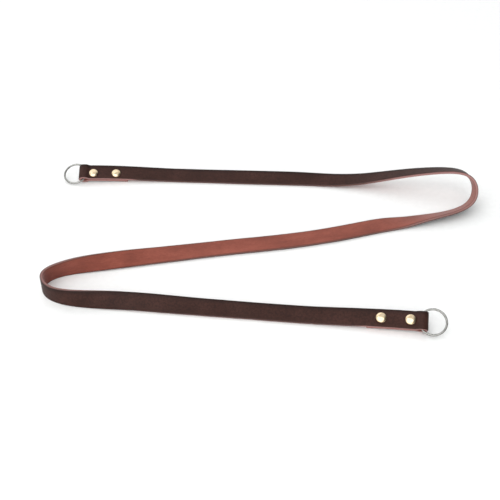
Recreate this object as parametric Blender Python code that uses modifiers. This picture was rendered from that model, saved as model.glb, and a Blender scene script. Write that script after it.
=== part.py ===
"""A leather camera neck strap, lying in an S, with a riveted end loop and a wire ring at each end."""

import math

import bmesh
import bpy
import numpy as np
from mathutils import Matrix, Vector

# Driving sizes, in metres.
TOTAL_LENGTH = 1.000  # from the tip of one ring to the tip of the other, along the strap
STRAP_WIDTH = 0.013
STRAP_THICKNESS = 0.0022
EDGE_ROUNDING = 0.0003
LAYER_GAP = 0.0003  # between the strap and its folded end
FIT_GAP = 0.0003  # round a rivet's post, and under its caps

RING_WIRE = 0.0016
RING_ROOM = 0.0038  # what the ring's eye is wider than the strap
LOOP_BORE = 0.0034  # the end loop's hollow, across the strap's faces
LOOP_PLAY = 0.00035  # between the ring and the loop's end
LOOP_MOUTH = 0.0017  # where the loop starts to close
LOOP_CLOSED = 0.0052  # where its two layers meet
RING_DROOP = {"left": 8.0, "right": 0.0}  # degrees that each ring hangs below the strap's plane
RING_STEPS = 48
WIRE_STEPS = 12
LOOP_STEPS = 12
CLOSING_ROWS = 9  # where the loop's layers close

RIVET_SPACING = {"left": 0.0188, "right": 0.020}
RIVET_ASIDE = {"left": 0.0016, "right": 0.0}  # how far they were set from the middle, to the near edge
TAIL_END = 0.010  # from the inner rivet to the end of the folded strap
RIVET_POST = 0.0030
CAP_WIDTH = 0.0075
CAP_HEIGHT = 0.0021
CAP_RIM = 0.0007
BACK_WIDTH = 0.0064
BACK_HEIGHT = 0.0012
CAP_STEPS = 6
BACK_STEPS = 4

ROW_STEP = 0.0042  # along the strap
ROUND_STEPS = 24
SHARP_EDGE = 60.0  # degrees

# How the strap lies, from the left ring to the right one: x to the right, y to the back and the
# lift of its lower edge off the surface, all in thousandths of the total length, and the lean,
# in degrees, of its width from upright.
LAY_COLUMNS = ("x", "y", "lift", "lean")
LAY = (
    # left end, then the back run to the right
    (-133, 88.4, 3.5, 68),
    (-110, 89.2, 3.0, 69),
    (-86, 89.8, 1.3, 71),
    (-62, 89.6, 0.0, 72),
    (-36, 88.6, 0.0, 73),
    (-9, 87.0, 0.0, 71),
    (18, 85.6, 0.0, 69),
    (44, 84.8, 0.0, 72),
    (67, 82.2, 0.8, 79),
    (86, 80.0, 4.0, 87),
    (105, 77.2, 9.0, 95),
    (123, 74.8, 13.4, 101),
    (139, 72.2, 16.6, 106),
    (152, 69.6, 18.8, 110),
    # right bend, which stands up off the surface
    (163.6, 67.4, 18.9, 113),
    (170.8, 62.8, 15.5, 116),
    (173, 56.8, 10.2, 118),
    (171.2, 50.3, 4.9, 120),
    (165, 44.2, 1.6, 121),
    # middle run to the left, with its flesh side up
    (153, 39.0, 0.2, 120),
    (139, 35.2, 0.0, 115),
    (125, 32.2, 0.0, 102),
    (110, 28.9, 0.0, 85),
    (94, 24.6, 0.0, 76),
    (70, 16.4, 0.0, 74),
    (44, 9.8, 0.0, 75),
    (18, 4.6, 0.0, 74),
    (-9, 0.6, 0.0, 73),
    (-36, -4.4, 0.0, 71),
    (-62, -9.6, 0.0, 66),
    (-84, -14.4, 0.0, 54),
    (-104, -19.8, 0.0, 34),
    (-121, -24.2, 0.0, 14),
    # left bend, upright on its edge
    (-133, -28.4, 0.0, 0),
    (-140.6, -33.4, 0.0, 0),
    (-144, -40.0, 0.0, 0),
    (-140.8, -49.0, 0.0, 0),
    (-133, -55.0, 0.0, 0),
    # front run to the right end
    (-121, -58.2, 0.0, 10),
    (-104, -59.2, 0.0, 24),
    (-84, -59.4, 0.0, 42),
    (-62, -60.8, 0.0, 58),
    (-36, -63.4, 0.0, 67),
    (-9, -66.0, 0.0, 70),
    (18, -69.0, 0.0, 71),
    (44, -72.0, 0.2, 69),
    (68, -75.0, 1.6, 65),
    (91, -78.2, 3.0, 62),
    (113, -81.2, 3.5, 60),
)
SAMPLES_PER_STATION = 12
ZERO_EASE = 0.12  # rounds the strap's height where its lean passes 90 degrees
FITTING_ROUNDS = 6

THOUSANDTH = 0.001
LOOP_RADIUS = LOOP_BORE / 2 + STRAP_THICKNESS / 2  # of the leather's middle, round the ring
LAYER_PITCH = STRAP_THICKNESS + LAYER_GAP
HOLE_LENGTH = 3 * LAYER_PITCH
RING_RADIUS = (STRAP_WIDTH + RING_ROOM + RING_WIRE) / 2
RING_REACH = math.sqrt(RING_RADIUS**2 - (STRAP_WIDTH / 2) ** 2)  # to its wire at the strap's edges
RING_BOW = RING_RADIUS - RING_REACH  # how far the wire bows inside the loop
WIRE_SEAT = LOOP_BORE / 2 - RING_WIRE / 2 - LOOP_PLAY
PIVOT_DEPTH = RING_BOW / 2 - WIRE_SEAT  # the ring swings about the middle of its bow
PIVOT_TO_RING = RING_REACH + RING_BOW / 2
RING_TIP = RING_RADIUS + RING_WIRE / 2
TIP_REACH = PIVOT_TO_RING - PIVOT_DEPTH + RING_TIP  # from the loop's start to the ring's tip
FIRST_RIVET = LOOP_CLOSED + BACK_WIDTH / 2
RUN_LENGTH = TOTAL_LENGTH - 2 * TIP_REACH


def clear_scene():
    for old in list(bpy.data.objects):
        bpy.data.objects.remove(old, do_unlink=True)


def new_collection(name):
    collection = bpy.data.collections.new(name)
    bpy.context.scene.collection.children.link(collection)
    return collection


def new_material(name, colour, roughness, metallic=0.0):
    material = bpy.data.materials.new(name)
    material.use_nodes = True
    shader = material.node_tree.nodes["Principled BSDF"]
    shader.inputs["Base Color"].default_value = (*colour, 1.0)
    shader.inputs["Roughness"].default_value = roughness
    shader.inputs["Metallic"].default_value = metallic
    return material


def unit(vectors):
    return vectors / np.linalg.norm(vectors, axis=-1, keepdims=True)


def smooth_curve(stations):
    """Samples of a uniform cubic B-spline, which starts and ends on the first and the last station."""
    first = 2 * stations[0] - stations[1]
    last = 2 * stations[-1] - stations[-2]
    points = np.vstack([first, stations, last])
    samples = []
    for row in range(len(points) - 3):
        four = points[row : row + 4]
        for t in np.arange(SAMPLES_PER_STATION) / SAMPLES_PER_STATION:
            before = 3 * t**3 - 6 * t**2 + 4
            after = -3 * t**3 + 3 * t**2 + 3 * t + 1
            weights = np.array([(1 - t) ** 3, before, after, t**3]) / 6
            samples.append(weights @ four)
    samples.append(stations[-1])
    return np.array(samples)


def softly_positive(values):
    """The values without their sign, eased round zero so that the strap's height has no kink there."""
    return np.sqrt(values**2 + ZERO_EASE**2)


def lying_strap(scale):
    """Middle line, width direction and grain direction of the strap, with its plan at this scale."""
    columns = smooth_curve(np.array(LAY, float)).T
    x, y, lift, lean = (columns[LAY_COLUMNS.index(name)] for name in ("x", "y", "lift", "lean"))
    unit_length = scale * TOTAL_LENGTH * THOUSANDTH
    lean = np.radians(lean)
    line = np.stack([x, y, lift], axis=1) * unit_length
    line[:, 2] += softly_positive(np.cos(lean)) * STRAP_WIDTH / 2
    line[:, 2] += np.sin(lean) * STRAP_THICKNESS / 2
    along = unit(np.gradient(line, axis=0))
    leaning = np.stack([np.zeros_like(lean), np.sin(lean), np.cos(lean)], axis=1)
    width = unit(leaning - (leaning * along).sum(axis=1, keepdims=True) * along)
    return line, width, np.cross(along, width)


def distances(line):
    steps = np.linalg.norm(np.diff(line, axis=0), axis=1)
    return np.concatenate([[0.0], np.cumsum(steps)])


def laid_to_length():
    """The lying strap, drawn so that its middle line is exactly RUN_LENGTH long."""
    scale = 1.0
    for _ in range(FITTING_ROUNDS):
        line, width, grain = lying_strap(scale)
        scale *= RUN_LENGTH / distances(line)[-1]
    return line, width, grain


class Strap:
    """The strap's middle line, with its frame at any distance from the left loop."""

    def __init__(self):
        self.line, self.width, self.grain = laid_to_length()
        self.at = distances(self.line)
        self.length = self.at[-1]

    def read(self, rows, distance):
        return np.array([np.interp(distance, self.at, rows[:, axis]) for axis in range(3)])

    def frame(self, distance):
        """Point, and three square directions: along the strap, across its width and out of its grain."""
        width = unit(self.read(self.width, distance))
        grain = unit(self.read(self.grain, distance))
        along = unit(np.cross(width, grain))
        return self.read(self.line, distance), along, width, unit(np.cross(along, width))

    def end_frame(self, end, depth=0.0):
        """The same frame at a depth from one end, with its second direction pointing out of that end."""
        point, along, width, grain = self.frame(depth if end == "left" else self.length - depth)
        return point, -along if end == "left" else along, width, grain


def loop_swell(depth):
    """How far each layer stands off from its closed place, at a depth from the loop's round end."""
    closing = np.clip((depth - LOOP_MOUTH) / (LOOP_CLOSED - LOOP_MOUTH), 0.0, 1.0)
    return (LOOP_RADIUS - LAYER_PITCH / 2) * (1 - closing**2 * (3 - 2 * closing))


def depths_to(end_depth):
    """Depths from a loop's round end, close together where the loop closes."""
    fine = np.linspace(0.0, LOOP_CLOSED, CLOSING_ROWS)
    rows = 2 + int((end_depth - LOOP_CLOSED) / ROW_STEP)
    coarse = np.linspace(LOOP_CLOSED, end_depth, rows)
    return np.concatenate([fine, coarse[1:]])


def tail_rows(strap, end):
    """Rows of the folded end, from the loop to its cut end."""
    rows = []
    for depth in depths_to(FIRST_RIVET + RIVET_SPACING[end] + TAIL_END):
        point, _, width, grain = strap.end_frame(end, depth)
        rows.append((point - grain * (LAYER_PITCH + loop_swell(depth)), width))
    return rows


def loop_rows(strap, end):
    """Rows round the ring, from the strap's own layer to the folded one."""
    point, out, width, grain = strap.end_frame(end)
    centre = point - grain * LAYER_PITCH / 2
    rows = []
    for angle in np.linspace(0, math.pi, LOOP_STEPS + 1)[1:-1]:
        spoke = grain * math.cos(angle) + out * math.sin(angle)
        rows.append((centre + LOOP_RADIUS * spoke, width))
    return rows


def main_rows(strap):
    half = depths_to(strap.length / 2)
    rows = []
    for distance in np.concatenate([half, strap.length - half[-2::-1]]):
        point, _, width, grain = strap.frame(distance)
        depth = min(distance, strap.length - distance)
        rows.append((point + grain * loop_swell(depth), width))
    return rows


def strap_surface(strap):
    """The middle surface of the strap, tail, loop, run, loop and tail, as one open ribbon."""
    rows = tail_rows(strap, "left")[::-1] + loop_rows(strap, "left")[::-1] + main_rows(strap)
    rows += loop_rows(strap, "right") + tail_rows(strap, "right")
    ribbon = bmesh.new()
    before = None
    for point, width in rows:
        pair = [ribbon.verts.new(point + side * width * STRAP_WIDTH / 2) for side in (-1, 1)]
        if before:
            ribbon.faces.new((before[0], pair[0], pair[1], before[1]))
        before = pair
    mesh = bpy.data.meshes.new("strap")
    ribbon.to_mesh(mesh)
    ribbon.free()
    return mesh


def place(point, x_axis, y_axis, z_axis):
    """A matrix that puts an object at this point, with its axes along these directions."""
    matrix = Matrix((x_axis, y_axis, z_axis)).transposed().to_4x4()
    matrix.translation = Vector(point)
    return matrix


def rivet_places(strap):
    """Name and matrix of each rivet, between the strap's two layers with +Z out of the grain side."""
    for end in ("left", "right"):
        for name, step in (("outer", 0.0), ("inner", RIVET_SPACING[end])):
            point, _, width, grain = strap.end_frame(end, FIRST_RIVET + step)
            middle = point - grain * LAYER_PITCH / 2 - width * RIVET_ASIDE[end]
            yield f"{end}_{name}", place(middle, width, np.cross(grain, width), grain)


def turned(name, profile, collection, material):
    """A closed round body from its profile of radius and height, from the top down its outer side."""
    mesh = bpy.data.meshes.new(name)
    edges = [(i, i + 1) for i in range(len(profile) - 1)]
    mesh.from_pydata([(radius, 0.0, height) for radius, height in profile], edges, [])
    piece = bpy.data.objects.new(name, mesh)
    collection.objects.link(piece)
    screw = piece.modifiers.new("Turn", "SCREW")
    screw.axis = "Z"
    screw.steps = ROUND_STEPS
    screw.render_steps = ROUND_STEPS
    screw.use_merge_vertices = True
    screw.merge_threshold = 0.00001
    screw.use_smooth_shade = True
    mesh.materials.append(material)
    return piece


def rivet_profile():
    """A domed cap with a short rim, the post through both layers, and a flatter cap behind."""
    face = LAYER_PITCH / 2 + STRAP_THICKNESS / 2 + FIT_GAP
    dome = []
    for angle in np.linspace(0, math.pi / 2, CAP_STEPS + 1):
        rise = CAP_RIM + (CAP_HEIGHT - CAP_RIM) * math.cos(angle)
        dome.append((CAP_WIDTH / 2 * math.sin(angle), face + rise))
    back = []
    for angle in np.linspace(math.pi / 2, 0, BACK_STEPS + 1):
        rise = CAP_RIM + (BACK_HEIGHT - CAP_RIM) * math.cos(angle)
        back.append((BACK_WIDTH / 2 * math.sin(angle), -face - rise))
    post = [(RIVET_POST / 2, face), (RIVET_POST / 2, -face)]
    return dome + [(CAP_WIDTH / 2, face)] + post + [(BACK_WIDTH / 2, -face)] + back


def hole_cutter(name, matrix, collection):
    """A rod that cuts a rivet's hole through both layers."""
    bm = bmesh.new()
    radius = RIVET_POST / 2 + FIT_GAP
    bmesh.ops.create_cone(
        bm,
        cap_ends=True,
        segments=ROUND_STEPS,
        radius1=radius,
        radius2=radius,
        depth=HOLE_LENGTH,
    )
    mesh = bpy.data.meshes.new(name)
    bm.to_mesh(mesh)
    bm.free()
    cutter = bpy.data.objects.new(name, mesh)
    cutter.matrix_world = matrix
    cutter.hide_render = True
    cutter.display_type = "WIRE"
    collection.objects.link(cutter)
    return cutter


def build_strap(strap, parts, cutters, leather):
    piece = bpy.data.objects.new("strap", strap_surface(strap))
    parts.objects.link(piece)
    piece.data.materials.append(leather)
    wall = piece.modifiers.new("Leather", "SOLIDIFY")
    wall.thickness = STRAP_THICKNESS
    wall.offset = 0.0
    wall.use_even_offset = True
    edges = piece.modifiers.new("Worn edges", "BEVEL")
    edges.width = EDGE_ROUNDING
    edges.segments = 1
    edges.limit_method = "ANGLE"
    edges.angle_limit = math.radians(SHARP_EDGE)
    for name, matrix in rivet_places(strap):
        cut = piece.modifiers.new(f"Hole {name}", "BOOLEAN")
        cut.operation = "DIFFERENCE"
        cut.solver = "EXACT"
        cut.object = hole_cutter(f"hole_{name}", matrix, cutters)
    piece.data.shade_smooth()
    return piece


def build_rivets(strap, parts, brass):
    for name, matrix in rivet_places(strap):
        rivet = turned(f"rivet_{name}", rivet_profile(), parts, brass)
        rivet.matrix_world = matrix


def build_ring(strap, end, parts, steel):
    """A wire ring through one end loop, with its origin on the line that it swings about."""
    point, out, width, grain = strap.end_frame(end)
    pivot = point - grain * LAYER_PITCH / 2 - out * PIVOT_DEPTH
    lean = math.radians(RING_DROOP[end])
    towards = out * math.cos(lean) - grain * math.sin(lean)
    name = f"ring_{end}"
    bpy.ops.mesh.primitive_torus_add(
        major_segments=RING_STEPS,
        minor_segments=WIRE_STEPS,
        major_radius=RING_RADIUS,
        minor_radius=RING_WIRE / 2,
    )
    ring = bpy.context.object
    ring.name = name
    ring.data.name = name
    ring.data.transform(Matrix.Translation((PIVOT_TO_RING, 0, 0)))
    ring.data.shade_smooth()
    ring.matrix_world = place(pivot, towards, width, np.cross(towards, width))
    for old in ring.users_collection:
        old.objects.unlink(ring)
    parts.objects.link(ring)
    ring.data.materials.append(steel)
    return ring


def stand_on_surface(parts, cutters):
    """Moves everything so that it is centred over the origin, with its lowest point at height 0."""
    bpy.context.view_layer.update()
    graph = bpy.context.evaluated_depsgraph_get()
    corners = []
    for piece in parts.objects:
        mesh = piece.evaluated_get(graph).data
        corners += [piece.matrix_world @ vertex.co for vertex in mesh.vertices]
    corners = np.array(corners)
    low, high = corners.min(axis=0), corners.max(axis=0)
    hub = bpy.data.objects.new("camera_neck_strap", None)
    parts.objects.link(hub)
    hub.location = (-(low[0] + high[0]) / 2, -(low[1] + high[1]) / 2, -low[2])
    for piece in list(parts.objects) + list(cutters.objects):
        if piece is not hub:
            piece.parent = hub


clear_scene()
parts_collection = new_collection("camera_neck_strap")
cutter_collection = new_collection("cutters")
leather_brown = new_material("leather", (0.055, 0.028, 0.022), 0.55)
rivet_brass = new_material("rivet brass", (0.80, 0.62, 0.42), 0.25, 1.0)
ring_nickel = new_material("nickel-plated wire", (0.60, 0.60, 0.58), 0.28, 1.0)

lying = Strap()
build_strap(lying, parts_collection, cutter_collection, leather_brown)
build_rivets(lying, parts_collection, rivet_brass)
for side in ("left", "right"):
    build_ring(lying, side, parts_collection, ring_nickel)
stand_on_surface(parts_collection, cutter_collection)
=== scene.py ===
"""The looks of a dark brown leather camera neck strap that lies in an S on a pale table."""

import math

import bmesh
import bpy
import numpy as np
from mathutils import Matrix, Vector


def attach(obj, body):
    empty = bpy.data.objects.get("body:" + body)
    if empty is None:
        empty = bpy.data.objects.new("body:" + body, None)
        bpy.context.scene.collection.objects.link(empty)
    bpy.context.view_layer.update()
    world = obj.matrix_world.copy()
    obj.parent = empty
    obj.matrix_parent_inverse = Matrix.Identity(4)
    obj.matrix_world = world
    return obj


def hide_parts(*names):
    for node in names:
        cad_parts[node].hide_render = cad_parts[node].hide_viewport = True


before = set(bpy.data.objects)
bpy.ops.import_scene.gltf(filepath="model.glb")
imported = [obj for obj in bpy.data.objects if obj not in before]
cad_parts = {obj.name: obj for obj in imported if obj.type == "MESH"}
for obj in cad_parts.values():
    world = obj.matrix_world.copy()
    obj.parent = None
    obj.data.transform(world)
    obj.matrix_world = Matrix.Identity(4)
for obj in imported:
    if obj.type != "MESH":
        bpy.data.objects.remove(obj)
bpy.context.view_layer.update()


# Camera: it stands in front of the strap and looks down on it at 40 degrees, from 0.68 m, so that
# the three runs of the S lie one above the other, as in the photograph.
VIEW_ELEVATION = 40.0
VIEW_DISTANCE = 0.6801
VIEW_WIDTH = 31.3
STRAP_HUB = np.array([-0.012695, -0.004189, -0.000045])  # where the plan of the S is drawn from

rise = math.radians(VIEW_ELEVATION)
camera_data = bpy.data.cameras.new("camera")
camera_data.angle = math.radians(VIEW_WIDTH)
camera = bpy.data.objects.new("camera", camera_data)
bpy.context.collection.objects.link(camera)
camera.location = STRAP_HUB + VIEW_DISTANCE * np.array([0.0, -math.cos(rise), math.sin(rise)])
camera.rotation_euler = (math.pi / 2 - rise, 0.0, 0.0)
bpy.context.scene.camera = camera


# Strap: one narrow strip of vegetable-tanned cowhide, cut 13 mm wide and 2.2 mm thick, bevelled
# along its edges and punched for the rivets. It is modelled flat, as it is cut, from the cut end
# under the left loop to the one under the right loop, and then laid along its way.
STRAP_WIDTH = 0.013
STRAP_THICKNESS = 0.0022
EDGE_BEVEL = 0.00042
EDGE_BEVEL_STEPS = 3
SHARP_EDGE = math.radians(60)
SOFT_EDGE = math.radians(35)
FACING = 0.75
ROW = 0.0008
ROWS_ACROSS = 6
TAIL_ROWS = 160
LOOP_ROWS = 42
RING_WIRE = 0.0016
RING_ROOM = 0.0038
LOOP_BORE = 0.0034
LOOP_PLAY = 0.00035
LOOP_MOUTH = 0.0017
LOOP_CLOSED = 0.0052
LAYER_GAP = 0.0003
LAYER_PITCH = STRAP_THICKNESS + LAYER_GAP
LOOP_RADIUS = (LOOP_BORE + STRAP_THICKNESS) / 2
RING_RADIUS = (STRAP_WIDTH + RING_ROOM + RING_WIRE) / 2
RING_REACH = math.sqrt(RING_RADIUS**2 - (STRAP_WIDTH / 2) ** 2)
PIVOT_DEPTH = (RING_RADIUS - RING_REACH) / 2 - (LOOP_BORE / 2 - RING_WIRE / 2 - LOOP_PLAY)
PIVOT_TO_RING = (RING_RADIUS + RING_REACH) / 2
RIVET_DEPTHS = {"left": (0.0084, 0.0272), "right": (0.0084, 0.0284)}
RIVET_ASIDE = {"left": 0.0016, "right": 0.0}
TAIL_PAST_RIVET = 0.010
LOOP_LENGTH = math.pi * LOOP_RADIUS
HOLE_RADIUS = 0.0018
HOLE_SIDES = 24
PUNCH_LENGTH = 0.006
CAP_PRESS = 0.0003
CAP_PRESS_RADIUS = 0.0045
UNEVEN_CUT = 0.007
LONG_WAVE = 0.023
SHORT_WAVE = 0.0091

# distance from the left loop in metres, and how much of its raw pink the near or the far edge keeps
# there; the rest is painted shade
NEAR_EDGE_LIT = (
    (-0.05, 1.0),
    (0.040, 0.9),
    (0.046, 0.1),
    (0.235, 0.1),
    (0.262, 0.8),
    (0.345, 0.75),
    (0.365, 0.5),
    (0.400, 0.45),
    (0.430, 0.15),
    (0.920, 0.2),
    (0.926, 1.0),
)
FAR_EDGE_LIT = ((-0.05, 0.9), (0.046, 0.1), (0.640, 0.1), (0.665, 0.35), (0.72, 0.5), (0.75, 0.1))

# x, y and lift of the lower edge in thousandths of the total length, and lean from upright
LAY = np.array(
    [
        (-133, 88.4, 3.5, 68),
        (-110, 89.2, 3.0, 69),
        (-86, 89.8, 1.3, 71),
        (-62, 89.6, 0.0, 72),
        (-36, 88.6, 0.0, 73),
        (-9, 87.0, 0.0, 71),
        (18, 85.6, 0.0, 69),
        (44, 84.8, 0.0, 72),
        (67, 82.2, 0.8, 79),
        (86, 80.0, 4.0, 87),
        (105, 77.2, 9.0, 95),
        (123, 74.8, 13.4, 101),
        (139, 72.2, 16.6, 106),
        (152, 69.6, 18.8, 110),
        (163.6, 67.4, 18.9, 113),
        (170.8, 62.8, 15.5, 116),
        (173, 56.8, 10.2, 118),
        (171.2, 50.3, 4.9, 120),
        (165, 44.2, 1.6, 121),
        (153, 39.0, 0.2, 120),
        (139, 35.2, 0.0, 115),
        (125, 32.2, 0.0, 102),
        (110, 28.9, 0.0, 85),
        (94, 24.6, 0.0, 76),
        (70, 16.4, 0.0, 74),
        (44, 9.8, 0.0, 75),
        (18, 4.6, 0.0, 74),
        (-9, 0.6, 0.0, 73),
        (-36, -4.4, 0.0, 71),
        (-62, -9.6, 0.0, 66),
        (-84, -14.4, 0.0, 54),
        (-104, -19.8, 0.0, 34),
        (-121, -24.2, 0.0, 14),
        (-133, -28.4, 0.0, 0),
        (-140.6, -33.4, 0.0, 0),
        (-144, -40.0, 0.0, 0),
        (-140.8, -49.0, 0.0, 0),
        (-133, -55.0, 0.0, 0),
        (-121, -58.2, 0.0, 10),
        (-104, -59.2, 0.0, 24),
        (-84, -59.4, 0.0, 42),
        (-62, -60.8, 0.0, 58),
        (-36, -63.4, 0.0, 67),
        (-9, -66.0, 0.0, 70),
        (18, -69.0, 0.0, 71),
        (44, -72.0, 0.2, 69),
        (68, -75.0, 1.6, 65),
        (91, -78.2, 3.0, 62),
        (113, -81.2, 3.5, 60),
    ]
)
LAY_SCALE = 0.0010463348
LEAN_EASE = 0.12


def unit(vectors):
    return vectors / np.linalg.norm(vectors, axis=-1, keepdims=True)


def eased(stations, steps=24):
    """A smooth curve near these stations, which starts and ends on the first and the last one."""
    ends = 2 * stations[0] - stations[1], 2 * stations[-1] - stations[-2]
    points = np.vstack([ends[0], stations, ends[1]])
    t = np.arange(steps)[:, None] / steps
    curve = [
        (1 - t) ** 3 / 6 * a
        + (t**3 / 2 - t**2 + 2 / 3) * b
        + (-(t**3) / 2 + t**2 / 2 + t / 2 + 1 / 6) * c
        + t**3 / 6 * d
        for a, b, c, d in zip(points, points[1:], points[2:], points[3:])
    ]
    return np.vstack(curve + [stations[-1:]])


def distances(line):
    return np.concatenate([[0.0], np.cumsum(np.linalg.norm(np.diff(line, axis=0), axis=1))])


def column_read(rows, at, distance):
    return np.stack([np.interp(distance, at, rows[:, axis]) for axis in range(3)], axis=-1)


# The run between the two loops, which lies on the table: middle line, width and grain directions.
x, y, lift, lean = eased(LAY).T
lean = np.radians(lean)
run = np.stack([x, y, lift], axis=1) * LAY_SCALE + STRAP_HUB
run[:, 2] += np.sqrt(np.cos(lean) ** 2 + LEAN_EASE**2) * STRAP_WIDTH / 2
run[:, 2] += np.sin(lean) * STRAP_THICKNESS / 2
run_at = distances(run)
run_along = unit(np.gradient(run, run_at, axis=0))
leaning = np.stack([np.zeros_like(lean), np.sin(lean), np.cos(lean)], axis=1)
run_width = unit(leaning - (leaning * run_along).sum(axis=1, keepdims=True) * run_along)
run_grain = np.cross(run_along, run_width)


def run_frame(distance):
    """Point, width and grain directions of the run, at distances from the left loop."""
    point = column_read(run, run_at, distance)
    width = unit(column_read(run_width, run_at, distance))
    grain = unit(column_read(run_grain, run_at, distance))
    return point, width, grain


def end_frame(end, depth=0.0):
    """Point, way out, width and grain directions at a depth from one end of the run."""
    point, width, grain = run_frame(np.array(depth if end == "left" else run_at[-1] - depth))
    out = unit(np.cross(grain, width) if end == "left" else np.cross(width, grain))
    return point, out, width, grain


def swell(depth):
    """How far a layer stands off its neighbour round the ring, at a depth from the loop's end."""
    closing = np.clip((depth - LOOP_MOUTH) / (LOOP_CLOSED - LOOP_MOUTH), 0.0, 1.0)
    return (LOOP_RADIUS - LAYER_PITCH / 2) * (1 - closing**2 * (3 - 2 * closing))


def tail_line(end):
    """The folded end's middle line and width directions, from the loop to its cut end."""
    depth = np.linspace(0.0, RIVET_DEPTHS[end][1] + TAIL_PAST_RIVET, TAIL_ROWS)
    distance = depth if end == "left" else run_at[-1] - depth
    point, width, grain = run_frame(distance)
    return point - grain * (LAYER_PITCH + swell(depth))[:, None], width


def loop_line(end):
    """The loop's middle line round the ring, from the run's layer to the folded one."""
    point, out, width, grain = end_frame(end)
    turn = np.linspace(0, math.pi, LOOP_ROWS)[1:-1, None]
    spokes = grain * np.cos(turn) + out * np.sin(turn)
    return point - grain * LAYER_PITCH / 2 + LOOP_RADIUS * spokes, np.tile(width, (len(turn), 1))


run_depth = np.minimum(run_at, run_at[-1] - run_at)
raised = run + run_grain * swell(run_depth)[:, None]
pieces_of_way = [
    [rows[::-1] for rows in tail_line("left")],
    [rows[::-1] for rows in loop_line("left")],
    [raised, run_width],
    loop_line("right"),
    tail_line("right"),
]
way = np.vstack([line for line, _ in pieces_of_way])
way_width = np.vstack([width for _, width in pieces_of_way])
way_at = distances(way)
way_along = unit(np.gradient(way, way_at, axis=0))
way_out = unit(np.cross(way_along, way_width))
CUT_LENGTH = way_at[-1]


def cut_place(point):
    """How far along the flat strip a point of the lying strap is."""
    near = np.argmin(np.linalg.norm(way - point, axis=1))
    return way_at[near] + (point - way[near]) @ way_along[near]


rivet_frames = {}
holes = []
for end, depths in RIVET_DEPTHS.items():
    for name, depth in zip(("outer", "inner"), depths):
        point, _, width, grain = end_frame(end, depth)
        middle = point - grain * LAYER_PITCH / 2 - width * RIVET_ASIDE[end]
        rivet_frames[f"{end}_{name}"] = middle, width, grain
        for layer in (point, point - grain * LAYER_PITCH):
            holes.append((cut_place(layer), -RIVET_ASIDE[end]))


def apply_all(piece):
    """Applies a piece's modifiers, in their order."""
    bpy.context.view_layer.objects.active = piece
    for modifier in list(piece.modifiers):
        bpy.ops.object.modifier_apply(modifier=modifier.name)


# Cut the strip flat, give it its wall and rounded edges, and punch the rivets' holes.
bpy.ops.object.select_all(action="DESELECT")
rows_along = round(CUT_LENGTH / ROW)
bpy.ops.mesh.primitive_grid_add(x_subdivisions=rows_along, y_subdivisions=ROWS_ACROSS, size=1.0)
strap = bpy.context.object
strap.name = "leather_strap"
strap.location = (CUT_LENGTH / 2, 0.0, 0.0)
strap.scale = (CUT_LENGTH, STRAP_WIDTH, 1.0)
bpy.ops.object.transform_apply(location=True, rotation=True, scale=True)
wall = strap.modifiers.new("Hide", "SOLIDIFY")
wall.thickness = STRAP_THICKNESS
wall.offset = 0.0
bevel = strap.modifiers.new("Bevelled edges", "BEVEL")
bevel.width = EDGE_BEVEL
bevel.segments = EDGE_BEVEL_STEPS
bevel.limit_method = "ANGLE"
bevel.angle_limit = SHARP_EDGE
apply_all(strap)
for along, aside in holes:
    bpy.ops.object.select_all(action="DESELECT")
    bpy.ops.mesh.primitive_cylinder_add(
        vertices=HOLE_SIDES, radius=HOLE_RADIUS, depth=PUNCH_LENGTH
    )
    punch = bpy.context.object
    punch.location = (along, aside, 0.0)
    bpy.ops.object.transform_apply(location=True, rotation=True, scale=True)
    cut = strap.modifiers.new("Hole", "BOOLEAN")
    cut.operation = "DIFFERENCE"
    cut.object = punch
    apply_all(strap)
    bpy.data.objects.remove(punch, do_unlink=True)

# Each point keeps its place on the flat strip, for the patterns that follow the leather. The
# faces are told apart here as grain side, flesh side and cut edge.
flat = np.empty(len(strap.data.vertices) * 3, np.float32)
strap.data.vertices.foreach_get("co", flat)
kept = strap.data.attributes.new("flat", "FLOAT_VECTOR", "POINT")
kept.data.foreach_set("vector", flat)
flat = flat.reshape(-1, 3).astype(float)
for face in strap.data.polygons:
    up = face.normal.z
    face.material_index = 0 if up > FACING else 1 if up < -FACING else 2

# Lay it: the leather gives way a little under the rivets' caps and isn't cut quite evenly.
place, across, depth = flat.T
off_caps = [(place - along) ** 2 + (across - aside) ** 2 for along, aside in holes]
press = sum(np.exp(-apart / CAP_PRESS_RADIUS**2) for apart in off_caps)
depth = depth - CAP_PRESS * press * np.clip(depth / (STRAP_THICKNESS / 2), 0, 1)
uneven = np.sin(place / LONG_WAVE) * np.sin(place / SHORT_WAVE + 1.0)
across = across * (1 + UNEVEN_CUT * uneven)
lying = column_read(way, way_at, place)
lying += unit(column_read(way_width, way_at, place)) * across[:, None]
lying += unit(column_read(way_out, way_at, place)) * depth[:, None]
strap.data.vertices.foreach_set("co", lying.astype(np.float32).ravel())

# The cut edges keep their pale raw pink where the table gives 1, and are painted dark along the
# runs as painted shade.
run_start = RIVET_DEPTHS["left"][1] + TAIL_PAST_RIVET + LOOP_LENGTH
near_edge_lit = np.interp(place - run_start, *np.array(NEAR_EDGE_LIT).T)
far_edge_lit = np.interp(place - run_start, *np.array(FAR_EDGE_LIT).T)
edge_lit = np.where(across < 0, near_edge_lit, far_edge_lit)
kept = strap.data.attributes.new("edge_lit", "FLOAT", "POINT")
kept.data.foreach_set("value", edge_lit.astype(np.float32))
strap.data.update()
bpy.ops.object.select_all(action="DESELECT")
strap.select_set(True)
bpy.context.view_layer.objects.active = strap
bpy.ops.object.shade_smooth_by_angle(angle=SOFT_EDGE)


def hex_colour(code):
    """A linear colour with alpha from an sRGB hex code."""
    levels = [int(code[i : i + 2], 16) / 255 for i in (1, 3, 5)]
    linear = [c / 12.92 if c <= 0.04045 else ((c + 0.055) / 1.055) ** 2.4 for c in levels]
    return (*linear, 1.0)


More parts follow.
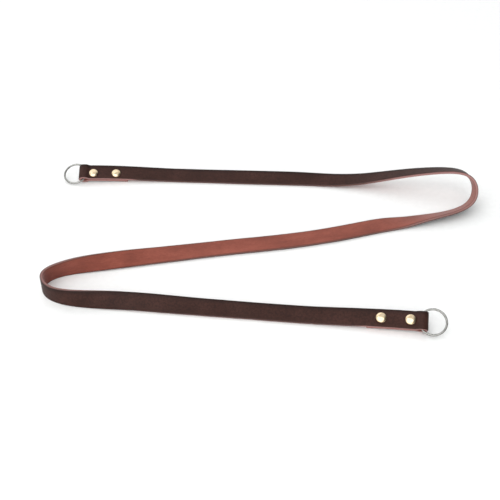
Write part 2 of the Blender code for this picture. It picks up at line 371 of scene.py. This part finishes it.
def add_node(material, kind, settings=(), values=(), links=(), stops=()):
    """A node with its settings, sockets' values and incoming links, and a ramp's hex stops."""
    node = material.node_tree.nodes.new(kind)
    for name, value in dict(settings).items():
        setattr(node, name, value)
    for name, value in dict(values).items():
        node.inputs[name].default_value = value
    for name, socket in dict(links).items():
        material.node_tree.links.new(socket, node.inputs[name])
    for _ in stops[2:]:
        node.color_ramp.elements.new(0.5)
    for place_on_ramp, (position, code) in enumerate(stops):
        node.color_ramp.elements[place_on_ramp].position = position
        node.color_ramp.elements[place_on_ramp].color = hex_colour(code)
    return node


def new_finish(name):
    """A material of this name, and its shader."""
    material = bpy.data.materials.new(name)
    material.use_nodes = True
    return material, material.node_tree.nodes["Principled BSDF"]


# Grain side: pigment-dyed vegetable-tanned cowhide with a thin wax finish. Cloudy dark brown, low
# satin sheen, and a fine pebble with hair pores. The pebble is 1.3 mm, drawn a little coarse so
# that it shows.
CLOUD = 0.022
MOTTLE = 0.0024
PEBBLE = 0.0013
PORE = 0.0005

grain_side, shader = new_finish("vegetable-tanned cowhide, dyed grain side")
hide = add_node(grain_side, "ShaderNodeAttribute", {"attribute_name": "flat"}).outputs["Vector"]
cloud = add_node(
    grain_side,
    "ShaderNodeTexNoise",
    values={"Scale": 1 / CLOUD, "Detail": 5.0, "Roughness": 0.6},
    links={"Vector": hide},
).outputs["Fac"]
mottle = add_node(
    grain_side,
    "ShaderNodeTexNoise",
    values={"Scale": 1 / MOTTLE, "Detail": 4.0, "Roughness": 0.7},
    links={"Vector": hide},
).outputs["Fac"]
tone = add_node(
    grain_side,
    "ShaderNodeMath",
    {"operation": "MULTIPLY_ADD"},
    {1: 0.22},
    {0: mottle, 2: cloud},
).outputs["Value"]
grain_colour = add_node(
    grain_side,
    "ShaderNodeValToRGB",
    links={"Fac": tone},
    stops=((0.38, "#311b16"), (0.61, "#3b231d"), (0.85, "#472c26")),
).outputs["Color"]
# Painted shade: the grain side is painted darker towards its far edge, the upper one in the view.
spread = add_node(grain_side, "ShaderNodeSeparateXYZ", links={"Vector": hide}).outputs["Y"]
far_side = add_node(
    grain_side,
    "ShaderNodeMapRange",
    {"interpolation_type": "SMOOTHSTEP"},
    {"From Min": 0.0022, "From Max": 0.0062, "To Min": 0.0, "To Max": 0.6},
    {"Value": spread},
).outputs["Result"]
grain_colour = add_node(
    grain_side,
    "ShaderNodeMix",
    {"data_type": "RGBA"},
    {7: hex_colour("#1c1211")},
    {0: far_side, 6: grain_colour},
).outputs[2]
pebble = add_node(
    grain_side,
    "ShaderNodeTexVoronoi",
    {"feature": "SMOOTH_F1"},
    {"Scale": 1 / PEBBLE, "Smoothness": 0.6, "Randomness": 0.95},
    {"Vector": hide},
).outputs["Distance"]
# Painted shade: the creases between the pebbles are painted darker.
crease_shade = add_node(
    grain_side,
    "ShaderNodeMapRange",
    values={"From Min": 0.35, "From Max": 0.75, "To Min": 0.0, "To Max": 0.4},
    links={"Value": pebble},
).outputs["Result"]
crease_shaded = add_node(
    grain_side,
    "ShaderNodeMix",
    {"data_type": "RGBA"},
    {7: hex_colour("#1d110e")},
    {0: crease_shade, 6: grain_colour},
).outputs[2]
grain_side.node_tree.links.new(crease_shaded, shader.inputs["Base Color"])
pores = add_node(
    grain_side,
    "ShaderNodeTexNoise",
    values={"Scale": 1 / PORE, "Detail": 2.0},
    links={"Vector": hide},
).outputs["Fac"]
relief = add_node(
    grain_side,
    "ShaderNodeMath",
    {"operation": "MULTIPLY_ADD"},
    {1: 0.5},
    {0: pores, 2: pebble},
).outputs["Value"]
bump = add_node(
    grain_side,
    "ShaderNodeBump",
    {"invert": True},
    {"Strength": 0.55, "Distance": 0.00012},
    {"Height": relief},
)
grain_side.node_tree.links.new(bump.outputs["Normal"], shader.inputs["Normal"])
gloss = add_node(
    grain_side,
    "ShaderNodeMapRange",
    values={"To Min": 0.44, "To Max": 0.62},
    links={"Value": mottle},
).outputs["Result"]
grain_side.node_tree.links.new(gloss, shader.inputs["Roughness"])
shader.inputs["IOR"].default_value = 1.5
shader.inputs["Specular IOR Level"].default_value = 0.14

# Flesh side: the same hide's raw underside, buffed to a short nap. Matt red-brown, blotchy, with
# fibres that lie roughly along the strap.
BLOTCH = 0.010
NAP = 0.0009

flesh_side, shader = new_finish("vegetable-tanned cowhide, buffed flesh side")
hide = add_node(flesh_side, "ShaderNodeAttribute", {"attribute_name": "flat"}).outputs["Vector"]
drawn = add_node(
    flesh_side,
    "ShaderNodeMapping",
    values={"Scale": (0.35, 1.0, 1.0)},
    links={"Vector": hide},
).outputs["Vector"]
blotch = add_node(
    flesh_side,
    "ShaderNodeTexNoise",
    values={"Scale": 1 / BLOTCH, "Detail": 6.0, "Roughness": 0.65},
    links={"Vector": drawn},
).outputs["Fac"]
nap = add_node(
    flesh_side,
    "ShaderNodeTexNoise",
    values={"Scale": 1 / NAP, "Detail": 5.0, "Roughness": 0.75},
    links={"Vector": drawn},
).outputs["Fac"]
tone = add_node(
    flesh_side,
    "ShaderNodeMath",
    {"operation": "MULTIPLY_ADD"},
    {1: 0.5},
    {0: nap, 2: blotch},
).outputs["Value"]
suede = add_node(
    flesh_side,
    "ShaderNodeValToRGB",
    links={"Fac": tone},
    stops=((0.50, "#703528"), (0.74, "#834132"), (0.98, "#944e3e")),
).outputs["Color"]
# The flesh side is darker towards both its long edges.
spread = add_node(flesh_side, "ShaderNodeSeparateXYZ", links={"Vector": hide}).outputs["Y"]
from_middle = add_node(
    flesh_side, "ShaderNodeMath", {"operation": "ABSOLUTE"}, links={0: spread}
).outputs["Value"]
dark_rim = add_node(
    flesh_side,
    "ShaderNodeMapRange",
    {"interpolation_type": "SMOOTHSTEP"},
    {"From Min": 0.0053, "From Max": 0.0063, "To Min": 0.0, "To Max": 0.75},
    {"Value": from_middle},
).outputs["Result"]
suede = add_node(
    flesh_side,
    "ShaderNodeMix",
    {"data_type": "RGBA"},
    {7: hex_colour("#4f2c23")},
    {0: dark_rim, 6: suede},
).outputs[2]
flesh_side.node_tree.links.new(suede, shader.inputs["Base Color"])
bump = add_node(
    flesh_side,
    "ShaderNodeBump",
    values={"Strength": 0.7, "Distance": 0.00022},
    links={"Height": nap},
)
flesh_side.node_tree.links.new(bump.outputs["Normal"], shader.inputs["Normal"])
shader.inputs["Roughness"].default_value = 0.93
shader.inputs["Sheen Weight"].default_value = 0.25
shader.inputs["Sheen Roughness"].default_value = 0.5

# Cut edge: fibres packed in layers, pale pink and raw. Along the runs it is painted dark, as
# painted shade;
# at the folded ends and on the bends it keeps its pink.
FIBRE = 0.0005

cut_edge, shader = new_finish("vegetable-tanned cowhide, cut edge")
hide = add_node(cut_edge, "ShaderNodeAttribute", {"attribute_name": "flat"}).outputs["Vector"]
edge_lit_weight = add_node(cut_edge, "ShaderNodeAttribute", {"attribute_name": "edge_lit"}).outputs["Fac"]
layered = add_node(
    cut_edge,
    "ShaderNodeMapping",
    values={"Scale": (0.12, 1.0, 1.0)},
    links={"Vector": hide},
).outputs["Vector"]
fibres = add_node(
    cut_edge,
    "ShaderNodeTexNoise",
    values={"Scale": 1 / FIBRE, "Detail": 4.0, "Roughness": 0.65},
    links={"Vector": layered},
).outputs["Fac"]
height = add_node(cut_edge, "ShaderNodeSeparateXYZ", links={"Vector": hide}).outputs["Z"]
through = add_node(
    cut_edge,
    "ShaderNodeMapRange",
    values={"From Min": -STRAP_THICKNESS / 2, "From Max": STRAP_THICKNESS / 2},
    links={"Value": height},
).outputs["Result"]
fibre_tone = add_node(
    cut_edge,
    "ShaderNodeMath",
    {"operation": "MULTIPLY_ADD"},
    {1: 0.3, 2: -0.15},
    {0: fibres},
).outputs["Value"]
through = add_node(
    cut_edge, "ShaderNodeMath", {"operation": "ADD"}, links={0: through, 1: fibre_tone}
).outputs["Value"]
raw_colour = add_node(
    cut_edge,
    "ShaderNodeValToRGB",
    links={"Fac": through},
    stops=(
        (0.04, "#84534e"),
        (0.25, "#a97d78"),
        (0.62, "#a57872"),
        (0.82, "#7b544e"),
        (0.95, "#432d29"),
    ),
).outputs["Color"]
# Painted shade: the dark colour that the cut edge is given along the runs.
edge_shade_colour = add_node(
    cut_edge,
    "ShaderNodeValToRGB",
    links={"Fac": through},
    stops=((0.05, "#6a4036"), (0.4, "#54362f"), (0.95, "#2e1e1a")),
).outputs["Color"]
edge_colour = add_node(
    cut_edge,
    "ShaderNodeMix",
    {"data_type": "RGBA"},
    links={0: edge_lit_weight, 6: edge_shade_colour, 7: raw_colour},
).outputs[2]
cut_edge.node_tree.links.new(edge_colour, shader.inputs["Base Color"])
bump = add_node(
    cut_edge,
    "ShaderNodeBump",
    values={"Strength": 0.6, "Distance": 0.00012},
    links={"Height": fibres},
)
cut_edge.node_tree.links.new(bump.outputs["Normal"], shader.inputs["Normal"])
shader.inputs["Roughness"].default_value = 0.72

for material in (grain_side, flesh_side, cut_edge):
    strap.data.materials.append(material)
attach(strap, "strap")
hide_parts("strap")


# Rivets: double-cap tubular rivets of pale brass. Each is pressed from two cups that snap
# together on a post through both layers, with a domed cap in front and a flatter one behind.
CAP_RADIUS = 0.00375
CAP_DOME = 0.0014
CAP_RIM = 0.00065
CAP_SIDES = 48
CAP_RINGS = 24
LIP = 0.0004
HOLLOW_SLOPE = 0.0002
HOLLOW = 0.0003
ROLL = 0.00022
ROLL_STEPS = 3
BACK_RADIUS = 0.0032
BACK_DOME = 0.0005
POST_RADIUS = 0.0015
POST_SIDES = 32
POST_GRIP = 0.0004
SUNK = 0.00012
SEAT = LAYER_PITCH / 2 + STRAP_THICKNESS / 2 - SUNK
BRASS_HAZE = 0.0016

brass, shader = new_finish("pressed brass, polished and pale gilt")
worn = add_node(brass, "ShaderNodeTexCoord").outputs["Object"]
haze = add_node(
    brass,
    "ShaderNodeTexNoise",
    values={"Scale": 1 / BRASS_HAZE, "Detail": 4.0, "Roughness": 0.6},
    links={"Vector": worn},
).outputs["Fac"]
gilt = add_node(
    brass,
    "ShaderNodeValToRGB",
    links={"Fac": haze},
    stops=((0.3, "#d8bd97"), (0.55, "#e2cbaa"), (0.8, "#ebd9bd")),
).outputs["Color"]
brass.node_tree.links.new(gilt, shader.inputs["Base Color"])
polish = add_node(
    brass, "ShaderNodeMapRange", values={"To Min": 0.10, "To Max": 0.2}, links={"Value": haze}
).outputs["Result"]
brass.node_tree.links.new(polish, shader.inputs["Roughness"])
bump = add_node(
    brass, "ShaderNodeBump", values={"Strength": 0.05, "Distance": 0.00005}, links={"Height": haze}
)
brass.node_tree.links.new(bump.outputs["Normal"], shader.inputs["Normal"])
shader.inputs["Metallic"].default_value = 1.0


def pressed_cap(radius, dome, seat, side):
    """A domed cup with a rolled rim, its rim at the seat's height, facing up or, for -1, down."""
    bpy.ops.object.select_all(action="DESELECT")
    bpy.ops.mesh.primitive_uv_sphere_add(
        segments=CAP_SIDES, ring_count=CAP_RINGS, radius=radius
    )
    cap = bpy.context.object
    bpy.ops.object.mode_set(mode="EDIT")
    bpy.ops.mesh.select_all(action="SELECT")
    bpy.ops.mesh.bisect(plane_co=(0, 0, 0), plane_no=(0, 0, 1), clear_inner=True, use_fill=True)
    bpy.ops.mesh.select_all(action="SELECT")
    bpy.ops.transform.resize(value=(1, 1, dome / radius), center_override=(0, 0, 0))
    bpy.ops.mesh.select_all(action="DESELECT")
    bpy.ops.mesh.select_mode(type="FACE")
    mesh = bmesh.from_edit_mesh(cap.data)
    for face in mesh.faces:
        face.select = face.normal.z < -0.9 and len(face.verts) > 4
    bmesh.update_edit_mesh(cap.data)
    bpy.ops.mesh.extrude_region_move(TRANSFORM_OT_translate={"value": (0, 0, -CAP_RIM)})
    bpy.ops.mesh.inset(thickness=LIP, depth=0.0)
    bpy.ops.mesh.inset(thickness=HOLLOW_SLOPE, depth=-HOLLOW)
    bpy.ops.object.mode_set(mode="OBJECT")
    roll = cap.modifiers.new("Rolled rim", "BEVEL")
    roll.width = ROLL
    roll.segments = ROLL_STEPS
    roll.limit_method = "ANGLE"
    roll.angle_limit = math.radians(40)
    apply_all(cap)
    facing = Matrix.Diagonal((1, side, side, 1))
    cap.data.transform(facing @ Matrix.Translation((0, 0, CAP_RIM + seat)))
    return cap


bpy.ops.object.select_all(action="DESELECT")
bpy.ops.mesh.primitive_cylinder_add(
    vertices=POST_SIDES, radius=POST_RADIUS, depth=2 * SEAT + POST_GRIP
)
post = bpy.context.object
front_cap = pressed_cap(CAP_RADIUS, CAP_DOME, SEAT, 1)
back_cap = pressed_cap(BACK_RADIUS, BACK_DOME, SEAT, -1)
for piece in (post, front_cap, back_cap):
    piece.select_set(True)
bpy.context.view_layer.objects.active = front_cap
bpy.ops.object.join()
front_cap.data.materials.append(brass)
bpy.ops.object.shade_smooth_by_angle(angle=math.radians(50))
for name, (point, width, grain) in rivet_frames.items():
    rivet = bpy.data.objects.new(f"rivet_{name}_caps", front_cap.data.copy())
    bpy.context.collection.objects.link(rivet)
    seat = Matrix((width, np.cross(grain, width), grain)).transposed().to_4x4()
    seat.translation = Vector(point)
    rivet.data.transform(seat)
    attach(rivet, "strap")
    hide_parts(f"rivet_{name}")
bpy.data.objects.remove(front_cap, do_unlink=True)


# Rings: round wire of mild steel, bent to a circle with its two ends butted together, and
# nickel-plated. Each hangs through its loop and swings about the strap's width. The droop is in
# degrees below the strap's plane, and the joint is the angle at which the wire's ends meet.
RING_DROOP = {"left": 8.0, "right": 0.0}
RING_JOINT = {"left": 59.0, "right": 205.0}
RING_PARTS = 240
WIRE_SIDES = 20
CUT_CHAMFER = 0.00012
CUT_CHAMFER_STEPS = 2
PLATE_HAZE = 0.0011

nickel, shader = new_finish("bent steel wire, nickel-plated")
worn = add_node(nickel, "ShaderNodeTexCoord").outputs["Object"]
haze = add_node(
    nickel,
    "ShaderNodeTexNoise",
    values={"Scale": 1 / PLATE_HAZE, "Detail": 4.0, "Roughness": 0.65},
    links={"Vector": worn},
).outputs["Fac"]
plate = add_node(
    nickel,
    "ShaderNodeValToRGB",
    links={"Fac": haze},
    stops=((0.3, "#83827e"), (0.55, "#9b9a96"), (0.8, "#b0afab")),
).outputs["Color"]
nickel.node_tree.links.new(plate, shader.inputs["Base Color"])
polish = add_node(
    nickel, "ShaderNodeMapRange", values={"To Min": 0.2, "To Max": 0.34}, links={"Value": haze}
).outputs["Result"]
nickel.node_tree.links.new(polish, shader.inputs["Roughness"])
bump = add_node(
    nickel, "ShaderNodeBump", values={"Strength": 0.06, "Distance": 0.00005}, links={"Height": haze}
)
nickel.node_tree.links.new(bump.outputs["Normal"], shader.inputs["Normal"])
shader.inputs["Metallic"].default_value = 1.0

for end, joint in RING_JOINT.items():
    bpy.ops.object.select_all(action="DESELECT")
    bpy.ops.mesh.primitive_torus_add(
        major_segments=RING_PARTS,
        minor_segments=WIRE_SIDES,
        major_radius=RING_RADIUS,
        minor_radius=RING_WIRE / 2,
    )
    ring = bpy.context.object
    ring.name = f"ring_{end}_wire"
    bpy.ops.object.mode_set(mode="EDIT")
    bpy.ops.mesh.select_mode(type="FACE")
    bpy.ops.mesh.select_all(action="DESELECT")
    mesh = bmesh.from_edit_mesh(ring.data)
    aim = math.radians(joint)
    for face in mesh.faces:
        centre = face.calc_center_median()
        apart = abs((math.atan2(centre.y, centre.x) - aim + math.pi) % math.tau - math.pi)
        face.select = apart < math.pi / RING_PARTS
    bmesh.update_edit_mesh(ring.data)
    bpy.ops.mesh.delete(type="FACE")
    bpy.ops.mesh.select_mode(type="EDGE")
    bpy.ops.mesh.select_non_manifold()
    bpy.ops.mesh.fill_holes(sides=0)
    bpy.ops.mesh.select_all(action="DESELECT")
    bpy.ops.object.mode_set(mode="OBJECT")
    chamfer = ring.modifiers.new("Cut ends", "BEVEL")
    chamfer.width = CUT_CHAMFER
    chamfer.segments = CUT_CHAMFER_STEPS
    chamfer.limit_method = "ANGLE"
    chamfer.angle_limit = SHARP_EDGE
    apply_all(ring)
    bpy.ops.object.shade_smooth_by_angle(angle=math.radians(40))
    ring.data.transform(Matrix.Translation((PIVOT_TO_RING, 0, 0)))
    point, out, width, grain = end_frame(end)
    pivot = point - grain * LAYER_PITCH / 2 - out * PIVOT_DEPTH
    droop = math.radians(RING_DROOP[end])
    towards = out * math.cos(droop) - grain * math.sin(droop)
    hang = Matrix((towards, width, np.cross(towards, width))).transposed().to_4x4()
    hang.translation = Vector(pivot)
    ring.data.transform(hang)
    ring.data.materials.append(nickel)
    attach(ring, f"ring_{end}")
    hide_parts(f"ring_{end}")


# Table and light: a matt white sheet, a large soft box in front and above, which throws the
# shadows back under the strap, a weak one behind, and a bright room whose right side is darker
# and shows in the metal.
TABLE_SIZE = 6.0
PAPER_TOOTH = 0.004
ROOM_STRENGTH = 1.1

bpy.ops.object.select_all(action="DESELECT")
bpy.ops.mesh.primitive_plane_add(size=TABLE_SIZE)
table = bpy.context.object
table.name = "table"
paper, shader = new_finish("matt white paper")
on_table = add_node(paper, "ShaderNodeTexCoord").outputs["Object"]
tooth = add_node(
    paper,
    "ShaderNodeTexNoise",
    values={"Scale": 1 / PAPER_TOOTH, "Detail": 3.0},
    links={"Vector": on_table},
).outputs["Fac"]
white = add_node(
    paper,
    "ShaderNodeValToRGB",
    links={"Fac": tooth},
    stops=((0.3, "#f3f2f0"), (0.7, "#f7f6f4")),
).outputs["Color"]
paper.node_tree.links.new(white, shader.inputs["Base Color"])
shader.inputs["Roughness"].default_value = 0.95
table.data.materials.append(paper)

for name, spot, size, power in (
    ("soft box in front", (-0.35, -0.95, 0.95), 1.9, 15.0),
    ("soft box behind", (-0.5, 0.7, 1.0), 1.2, 2.5),
):
    lamp_data = bpy.data.lights.new(name, "AREA")
    lamp_data.size = size
    lamp_data.energy = power
    lamp = bpy.data.objects.new(name, lamp_data)
    bpy.context.collection.objects.link(lamp)
    lamp.location = spot
    lamp.rotation_euler = (-Vector(spot)).to_track_quat("-Z", "Y").to_euler()
room = bpy.data.worlds.new("room")
room.use_nodes = True
around = add_node(room, "ShaderNodeTexCoord").outputs["Generated"]
to_the_right = add_node(
    room, "ShaderNodeVectorMath", {"operation": "DOT_PRODUCT"}, {1: (0.93, -0.2, 0.3)}, {0: around}
).outputs["Value"]
walls = add_node(
    room,
    "ShaderNodeValToRGB",
    links={"Fac": to_the_right},
    stops=((0.55, "#eef1f3"), (0.85, "#6f7478"), (1.0, "#46494c")),
).outputs["Color"]
room.node_tree.links.new(walls, room.node_tree.nodes["Background"].inputs["Color"])
room.node_tree.nodes["Background"].inputs["Strength"].default_value = ROOM_STRENGTH
bpy.context.scene.world = room
bpy.context.scene.view_settings.view_transform = "Standard"
